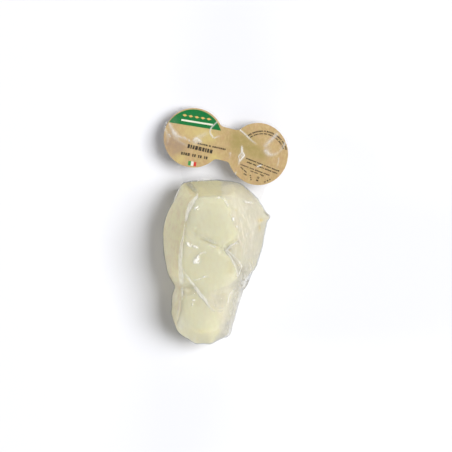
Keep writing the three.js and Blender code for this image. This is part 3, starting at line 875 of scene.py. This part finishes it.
def make_card():
    card = slab("tag_card", grid_over(*CARD_GRID), raised(card_top, CARD_LOW - CARD_HIGH), card_top)
    # The solid tag, stretched to a tall block, cuts the card out.
    outline = cad_copy("tag_outline", "tag")
    points = points_of(outline)
    above = points[:, Z] > tail_height(points[:, X], points[:, Y]) + SOLID_TAG_MIDDLE
    points[:, Z] = np.where(above, BEYOND, -BEYOND)
    move_to(outline, points)
    draw_right_disc(outline)
    combine(card, "INTERSECT", outline)
    for name, patches in TAG_TONES.items():
        set_attribute(card, name, np.clip(patched(points_of(card)[:, :2], patches), 0, 1))
    shade_smooth(card, 40)
    return card


def turned(centre, degrees):
    """A function from (along, across) a turned set of axes at the centre to x and y."""
    c, s = math.cos(math.radians(degrees)), math.sin(math.radians(degrees))
    return lambda u, v: (centre[0] + u * c - v * s, centre[1] + u * s + v * c)


PRINT_STEP = 0.8  # mesh cell of the print along its longer side
INK_LIFT = 0.05  # how far ink stands over the card, and how far it reaches into it


def printed(name, grids, lift=INK_LIFT):
    """Thin printed fields on the card, one for each grid of points, as one object."""
    parts = [slab(name, grid, raised(card_top, -INK_LIFT), raised(card_top, lift)) for grid in grids]
    joined = bmesh.new()
    for part in parts:
        joined.from_mesh(part.data)
    mesh = bpy.data.meshes.new(name)
    joined.to_mesh(mesh)
    joined.free()
    remove(*parts)
    made = new_object(name, mesh)
    shade_smooth(made, 40)
    return made


def bar(axes, u0, u1, v0, v1):
    """Grid of a straight bar in turned axes."""
    columns = max(2, round((u1 - u0) / PRINT_STEP) + 1)
    return [[axes(u, v) for u in np.linspace(u0, u1, columns)] for v in (v0, v1)]


CAP_TILT = -9.1
CAP_CHORD = 8.7  # from the disc's centre to the green field's straight edge
CAP_RIM = 0.75  # bare card outside the green, on the whole
CAP_SHIFT = (-0.45, -0.25)  # the green is printed slightly off the disc's centre
CAP_ROWS = 20
CAP_COLUMNS = 44
HAIR = 0.02  # least width, so that no face is empty
CREAM_BAND = (-11.0, 12.5, 11.0, 12.3)  # from and to along the field's edge, and from and to across
GOLD_ROW = np.linspace(-9.0, 9.0, 5)  # places of the lozenges along that edge
GOLD_V = 15.4  # and across it
GOLD_SIZE = (3.6, 1.9)


def make_green_field():
    """The green field: the part of the left disc past a straight edge, inside a thin bare rim."""
    axes = turned(tuple(np.add(DISC_LEFT["at"], CAP_SHIFT)), CAP_TILT)
    radius = DISC_LEFT["radius"] - CAP_RIM
    rows = []
    for share in np.linspace(0, 1, CAP_ROWS):
        v = CAP_CHORD + (radius - CAP_CHORD - HAIR) * math.sin(share * math.pi / 2)
        half = math.sqrt(radius**2 - v**2)
        rows.append([axes(u, v) for u in np.linspace(-half, half, CAP_COLUMNS)])
    return printed("tag_green_field", [rows])


def make_cream_band():
    """A plain band on the green field."""
    return printed("tag_cream_band", [bar(turned(DISC_LEFT["at"], CAP_TILT), *CREAM_BAND)], 2 * INK_LIFT)


def lozenge(axes, u, v, length, height):
    """Grid of a four-cornered diamond; its ends are a hair wide."""
    shares = np.linspace(-1, 1, 5)
    halves = [max(HAIR, (1 - abs(s)) * height / 2) for s in shares]
    return [[axes(u + s * length / 2, v + side * h) for s, h in zip(shares, halves)] for side in (-1, 1)]


def make_gold_marks():
    """A row of lozenges over the band."""
    axes = turned(DISC_LEFT["at"], CAP_TILT)
    row = [lozenge(axes, u, GOLD_V, *GOLD_SIZE) for u in GOLD_ROW]
    return printed("tag_gold_marks", row, 2 * INK_LIFT)


BAR_GAP = 0.32  # in widths of a bar
GROUP_GAP = 0.9  # as well as that gap
BAR_WIDTHS = (0.8, 1.3, 0.6, 1.1, 0.9)


def straight(start, end):
    """A function from (along, across) a line to x and y, and the line's length."""
    run = (end[0] - start[0], end[1] - start[1])
    return turned(start, math.degrees(math.atan2(run[1], run[0]))), math.hypot(*run)


def curved(centre, radius, start):
    """A function from (along a clockwise arc, outwards) to x and y; start is in degrees."""

    def at(u, v):
        angle = math.radians(start) - u / radius
        return centre[0] + (radius + v) * math.cos(angle), centre[1] + (radius + v) * math.sin(angle)

    return at


def bars(axes, length, height, width, counts):
    """Grids of upright bars in groups of so many, one after another, until the row is full."""
    row, u, gap = [], 0.0, BAR_GAP * width
    for count in itertools.cycle(counts):
        if u + count * (width + gap) > length + width:
            return row
        for i in range(count):
            own = width * BAR_WIDTHS[(3 * i + count) % len(BAR_WIDTHS)]
            row.append(bar(axes, u, u + own, -height / 2, height / 2))
            u += own + gap
        u += GROUP_GAP * width


# Rows of small print: from and to, height, width of a bar, and bars in each group in turn.
PRINT_ROWS = [
    ((-21.0, 59.9), (0.9, 55.1), 1.2, 0.98, (6, 1, 8, 6)),
    ((-28.3, 58.0), (-9.4, 53.5), 2.9, 1.75, (9,)),
    ((-33.2, 52.7), (-10.9, 48.5), 2.1, 1.5, (4, 2, 2, 2)),
    ((14.6, 48.9), (39.3, 39.2), 0.95, 0.74, (9, 5, 2, 4, 6)),
    ((15.2, 46.2), (37.6, 37.6), 0.95, 0.66, (5, 3, 7, 6)),
    ((10.7, 44.3), (35.2, 35.0), 0.85, 0.76, (7, 4, 6, 5)),
    ((10.6, 42.4), (15.0, 38.4), 0.9, 0.62, (4, 3)),
    ((17.9, 39.6), (23.5, 37.5), 0.8, 0.6, (3, 4)),
    ((12.9, 37.6), (15.2, 36.2), 0.9, 0.62, (3,)),
    ((17.7, 36.6), (18.3, 33.0), 0.9, 0.62, (1, 1, 1)),
    ((25.1, 37.2), (27.6, 35.6), 1.0, 0.7, (3,)),
    ((23.9, 35.2), (22.3, 31.4), 1.6, 0.8, (2, 1, 1)),
    ((28.1, 31.2), (33.2, 33.8), 0.9, 0.8, (1, 1, 1)),
]
# Rows of it round an arc: centre, radius, start in degrees and length, and the rest as above.
PRINT_ARCS = [
    ((26.7, 50.8), 18.1, 126.0, 36.0, 1.1, 0.75, (3, 8, 2, 6, 7, 4)),
    ((26.7, 50.8), 16.2, 124.0, 31.0, 0.9, 0.6, (3, 5, 4, 3, 5, 2)),
]

STRIPES_AT = (-25.0, 44.9)
STRIPES_TURN = -9.5
STRIPE_WIDTH = 1.9
STRIPE_HEIGHT = 3.2


def make_dark_marks():
    """Rows of plain bars where small print would be."""
    marks = []
    for start, end, height, width, counts in PRINT_ROWS:
        axes, length = straight(start, end)
        marks += bars(axes, length, height, width, counts)
    for centre, radius, start, length, height, width, counts in PRINT_ARCS:
        marks += bars(curved(centre, radius, start), length, height, width, counts)
    return printed("tag_dark_marks", marks)


def make_stripe(name, start):
    """One of three short stripes in a row."""
    axes = turned(STRIPES_AT, STRIPES_TURN)
    stripe = bar(axes, start, start + STRIPE_WIDTH, -STRIPE_HEIGHT / 2, STRIPE_HEIGHT / 2)
    return printed(name, [stripe], 1.5 * INK_LIFT)


# ---- Materials ----


def linear(red, green, blue):
    """A screen colour from 0 to 255 as a linear one."""
    shares = (c / 255 for c in (red, green, blue))
    return (*(c / 12.92 if c <= 0.04045 else ((c + 0.055) / 1.055) ** 2.4 for c in shares), 1.0)


CREAM = linear(205, 202, 175)
# Colours of the cheese's zones, each laid over the ones before it.
CHEESE_TONES = {
    "side": linear(204, 197, 158),
    "top": linear(211, 204, 164),
    "pale": linear(189, 184, 165),
    # painted light on slopes and hollows that take less light
    "light": linear(218, 212, 185),
    # painted shade on the right shoulder
    "painted_shade": linear(178, 172, 152),
    "below": linear(203, 196, 160),
    "spot": linear(186, 168, 112),
    # painted shade along narrow grooves
    "crease_shade": linear(172, 160, 116),
}
CURD_CLOUDS = linear(206, 206, 160)
CURD_GRAIN = linear(192, 168, 140)
CURD_FIBRES = linear(228, 222, 206)
FIBRE_LAYERS = [(560, 8, 0.35), (900, -12, 0.6)]  # scale of the pattern, turn in degrees, and strength
FILM_GLOSS = 0.03  # share of light that the film sends back where it is seen straight on
FILM_GLOSS_GRAZING = 0.5  # and where it is seen edge on
FILM_EDGE = linear(188, 192, 197)  # what it lets through there
# The film's tones: grey, which in some folds and grooves is painted shade, and white, which on the puckers,
# some creases and the tag is a painted highlight.
FILM_GREY = linear(160, 157, 146)
FILM_WHITE = linear(236, 234, 227)
KRAFT = linear(177, 150, 103)
KRAFT_LIGHT = linear(195, 172, 127)
KRAFT_ROSY = linear(186, 151, 118)
KRAFT_TONES = {"worn": linear(163, 139, 114), "sunny": linear(198, 180, 121), "olive": linear(162, 145, 92)}
GREEN_INK = linear(12, 112, 55)
CREAM_INK = linear(226, 226, 206)
GOLD_INK = linear(214, 176, 104)
DARK_INK = linear(44, 39, 32)
# Where each stripe starts, and its colour.
STRIPES = {
    "tag_green_stripe": (-3.0, linear(30, 140, 70)),
    "tag_white_stripe": (-0.95, linear(225, 222, 212)),
    "tag_red_stripe": (1.1, linear(200, 52, 48)),
}
FLOOR_WHITE = (0.75, 0.755, 0.79, 1)


def new_material(name):
    made = bpy.data.materials.new(name)
    made.use_nodes = True
    made.node_tree.nodes.clear()
    return made, made.node_tree


def add(tree, kind, inputs=None, **settings):
    """A new shader node of this kind. Its inputs are values or other nodes' sockets, by name or number."""
    made = tree.nodes.new("ShaderNode" + kind)
    for name, value in settings.items():
        setattr(made, name, value)
    for socket, value in (inputs or {}).items():
        if isinstance(value, bpy.types.NodeSocket):
            tree.links.new(value, made.inputs[socket])
        else:
            made.inputs[socket].default_value = value
    return made


def mixed(tree, factor, a, b):
    """Colour a going to b as the factor goes from 0 to 1."""
    return add(tree, "Mix", {0: factor, 6: a, 7: b}, data_type="RGBA").outputs[2]


def ranged(tree, value, low, high, to_low=0.0, to_high=1.0):
    inputs = {"Value": value, "From Min": low, "From Max": high, "To Min": to_low, "To Max": to_high}
    return add(tree, "MapRange", inputs).outputs["Result"]


def position(tree, stretch=(1, 1, 1), turn=0):
    """Where the surface is, turned by so many degrees about the upright axis, then scaled along each axis."""
    where = add(tree, "TexCoord").outputs["Object"]
    turned_axes = {"Vector": where, "Rotation": (0, 0, math.radians(turn))}
    where = add(tree, "Mapping", turned_axes).outputs["Vector"]
    return add(tree, "Mapping", {"Vector": where, "Scale": stretch}).outputs["Vector"]


def noisy(tree, scale, detail=3.0, stretch=(1, 1, 1), turn=0):
    inputs = {"Vector": position(tree, stretch, turn), "Scale": scale, "Detail": detail}
    return add(tree, "TexNoise", inputs).outputs["Fac"]


def attribute(tree, name):
    return add(tree, "Attribute", attribute_name=name).outputs["Fac"]


def times(tree, a, b):
    return add(tree, "Math", {0: a, 1: b}, operation="MULTIPLY").outputs[0]


def bumped(tree, strength, distance, height):
    """The normal of a surface with this height as fine relief."""
    inputs = {"Strength": strength, "Distance": distance, "Height": height}
    return add(tree, "Bump", inputs).outputs["Normal"]


def power(tree, value, exponent):
    return add(tree, "Math", {0: value, 1: exponent}, operation="POWER").outputs[0]


def finish_material(tree, shader):
    add(tree, "OutputMaterial", {"Surface": shader})


def cheese_material():
    made, tree = new_material("stretched_curd")
    colour = CREAM
    # Some zones are painted light and painted shade, laid over the curd's own colours.
    for zone, tone in CHEESE_TONES.items():
        colour = mixed(tree, attribute(tree, zone), colour, tone)
    clouds = ranged(tree, noisy(tree, 90, 2.0), 0.35, 0.65, 0.0, 0.3)
    colour = mixed(tree, clouds, colour, mixed(tree, 0.5, colour, CURD_CLOUDS))
    grain = ranged(tree, noisy(tree, 420, 4.0, (1, 0.45, 0.6)), 0.42, 0.7, 0.0, 0.55)
    rosy = times(tree, grain, ranged(tree, attribute(tree, "side"), 0, 1, 0.25, 1.0))
    colour = mixed(tree, rosy, colour, CURD_GRAIN)
    for scale, turn, strength in FIBRE_LAYERS:
        fibres = ranged(tree, noisy(tree, scale, 3.0, (1, 0.14, 0.3), turn), 0.5, 0.72, 0.0, strength)
        colour = mixed(tree, times(tree, fibres, attribute(tree, "streaky")), colour, CURD_FIBRES)
    curd = {
        "Base Color": colour,
        "Roughness": 0.5,
        "Subsurface Weight": 0.35,
        "Subsurface Radius": (1.0, 0.8, 0.45),
        "Subsurface Scale": 0.0035,
        "Normal": bumped(tree, 0.5, 0.0003, noisy(tree, 350, 4.0, (1, 0.4, 0.6))),
    }
    finish_material(tree, add(tree, "BsdfPrincipled", curd).outputs[0])
    return made


def film_material():
    made, tree = new_material("clear_film")
    ripple = bumped(tree, 0.35, 0.0003, noisy(tree, 260, 2.0, (1, 0.5, 1)))
    # Curves on the facing angle are the same from outside and inside, so light also gets back out.
    grazing = add(tree, "LayerWeight", {"Blend": 0.5, "Normal": ripple}).outputs["Facing"]
    reflected = ranged(tree, power(tree, grazing, 5.0), 0.0, 1.0, FILM_GLOSS, FILM_GLOSS_GRAZING)
    tint = mixed(tree, power(tree, grazing, 3.0), (1, 1, 1, 1), FILM_EDGE)
    gloss = add(tree, "BsdfGlossy", {"Color": (1, 1, 1, 1), "Roughness": 0.16, "Normal": ripple})
    clear = add(tree, "BsdfTransparent", {"Color": tint})
    bare = add(tree, "MixShader", {0: reflected, 1: clear.outputs[0], 2: gloss.outputs[0]})
    # Grey tone paints shade in some folds, and white tone paints highlights on puckers and some creases.
    tone = mixed(tree, attribute(tree, "tone"), FILM_GREY, FILM_WHITE)
    doubled = add(tree, "BsdfDiffuse", {"Color": tone})
    streaks = ranged(tree, noisy(tree, 700, 2.0, (1, 0.25, 1)), 0.3, 0.7, 0.75, 1.1)
    haze = times(tree, attribute(tree, "haze"), streaks)
    shader = add(tree, "MixShader", {0: haze, 1: bare.outputs[0], 2: doubled.outputs[0]})
    finish_material(tree, shader.outputs[0])
    return made


def card_material():
    made, tree = new_material("kraft_card")
    fibres = ranged(tree, noisy(tree, 800, 5.0, (1, 0.5, 1)), 0.3, 0.7)
    colour = mixed(tree, fibres, KRAFT, KRAFT_LIGHT)
    mottled = ranged(tree, noisy(tree, 330, 3.0), 0.45, 0.7, 0.0, 0.5)
    colour = mixed(tree, mottled, colour, KRAFT_ROSY)
    for name, tone in KRAFT_TONES.items():
        uneven = ranged(tree, noisy(tree, 260, 4.0), 0.3, 0.6, 0.5, 1.0)
        colour = mixed(tree, times(tree, attribute(tree, name), uneven), colour, tone)
    relief = bumped(tree, 0.3, 0.0001, noisy(tree, 1500, 3.0))
    kraft = {"Base Color": colour, "Roughness": 0.7, "Normal": relief}
    finish_material(tree, add(tree, "BsdfPrincipled", kraft).outputs[0])
    return made


def ink_material(name, colour, worn):
    """Printing ink, thinner in places where the card shows through."""
    made, tree = new_material(name)
    thin = ranged(tree, noisy(tree, 900, 4.0), 0.45, 0.8, 0.0, worn)
    shade = mixed(tree, thin, colour, KRAFT_LIGHT)
    shader = add(tree, "BsdfPrincipled", {"Base Color": shade, "Roughness": 0.55})
    finish_material(tree, shader.outputs[0])
    return made


def paint(obj, material):
    obj.data.materials.clear()
    obj.data.materials.append(material)


# ---- Putting it together ----


def place(obj, material, slot, *nodes):
    """Gives a piece its material, on the one body, in place of these nodes of the solid model. Its slot is
    not used.
    """
    paint(obj, material)
    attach(obj, "root")
    if nodes:
        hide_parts(*nodes)


def make_object():
    place(make_cheese(), cheese_material(), "cheese", "sealed_bag")
    place(make_film(), film_material(), "film", "sealed_bag")
    place(make_card(), card_material(), "card", "tag")
    place(make_green_field(), ink_material("green_ink", GREEN_INK, 0.06), "card")
    place(make_cream_band(), ink_material("cream_ink", CREAM_INK, 0.3), "card")
    place(make_gold_marks(), ink_material("gold_ink", GOLD_INK, 0.2), "card")
    place(make_dark_marks(), ink_material("dark_ink", DARK_INK, 0.4), "card")
    for name, (start, colour) in STRIPES.items():
        place(make_stripe(name, start), ink_material(name, colour, 0.2), "card")


# ---- Floor, camera and light ----

VIEW_WIDTH = 332.2  # width of the picture's field at the object, in mm
VIEW_CENTRE = (-0.12, -0.97)
VIEW_LEVEL = 20.0  # height at which that width is taken
CAMERA_DISTANCE = 3000.0
SENSOR = 36.0
FLOOR_SIDE = 6000.0
FLOOR_GAP = 0.2  # under the cheese, so that the two faces don't coincide


def make_floor():
    half, z = FLOOR_SIDE / 2, -FLOOR_GAP
    corners = [(-half, -half, z), (half, -half, z), (half, half, z), (-half, half, z)]
    floor = mesh_object("floor", corners, [(0, 1, 2, 3)])
    made, tree = new_material("white_floor")
    shader = add(tree, "BsdfDiffuse", {"Color": FLOOR_WHITE})
    finish_material(tree, shader.outputs[0])
    paint(floor, made)


def make_camera():
    data = bpy.data.cameras.new("camera")
    data.sensor_width = SENSOR
    data.lens = SENSOR * (CAMERA_DISTANCE - VIEW_LEVEL) / VIEW_WIDTH
    data.clip_end = 100.0
    camera = new_object("camera", data)
    camera.location = (VIEW_CENTRE[0] * MM, VIEW_CENTRE[1] * MM, CAMERA_DISTANCE * MM)
    bpy.context.scene.camera = camera


def make_light(name, azimuth, elevation, distance, size, watts, diffuse=True, glossy=True):
    """A square soft light that faces the object. Angles are in degrees, the azimuth from +X towards +Y, and
    the distance and the size in metres."""
    data = bpy.data.lights.new(name, "AREA")
    data.shape = "SQUARE"
    data.size = size
    data.energy = watts
    light = new_object(name, data)
    a, e = math.radians(azimuth), math.radians(elevation)
    away = Vector((math.cos(a) * math.cos(e), math.sin(a) * math.cos(e), math.sin(e)))
    light.location = away * distance
    light.rotation_euler = away.to_track_quat("Z", "Y").to_euler()
    light.visible_diffuse = diffuse
    light.visible_glossy = glossy
    return light


def make_world(strength):
    world = bpy.data.worlds.new("studio")
    world.use_nodes = True
    background = world.node_tree.nodes["Background"]
    background.inputs["Color"].default_value = (1, 1, 1, 1)
    background.inputs["Strength"].default_value = strength
    bpy.context.scene.world = world


make_object()
make_floor()
make_camera()
make_world(0.12)
make_light("key", 5, 55, 6.0, 3.6, 478.0, glossy=False)
make_light("fill_left", 178, 8, 3.0, 0.8, 58.0, glossy=False)
make_light("fill_front", -95, 10, 3.0, 1.0, 45.0, glossy=False)
make_light("fill_back", 80, 10, 3.0, 1.0, 41.0, glossy=False)
make_light("glint_right", 25, 40, 1.5, 0.12, 2.2, diffuse=False)
make_light("glint_left", 130, 35, 1.5, 0.12, 1.9, diffuse=False)
bpy.context.scene.view_settings.view_transform = "Standard"
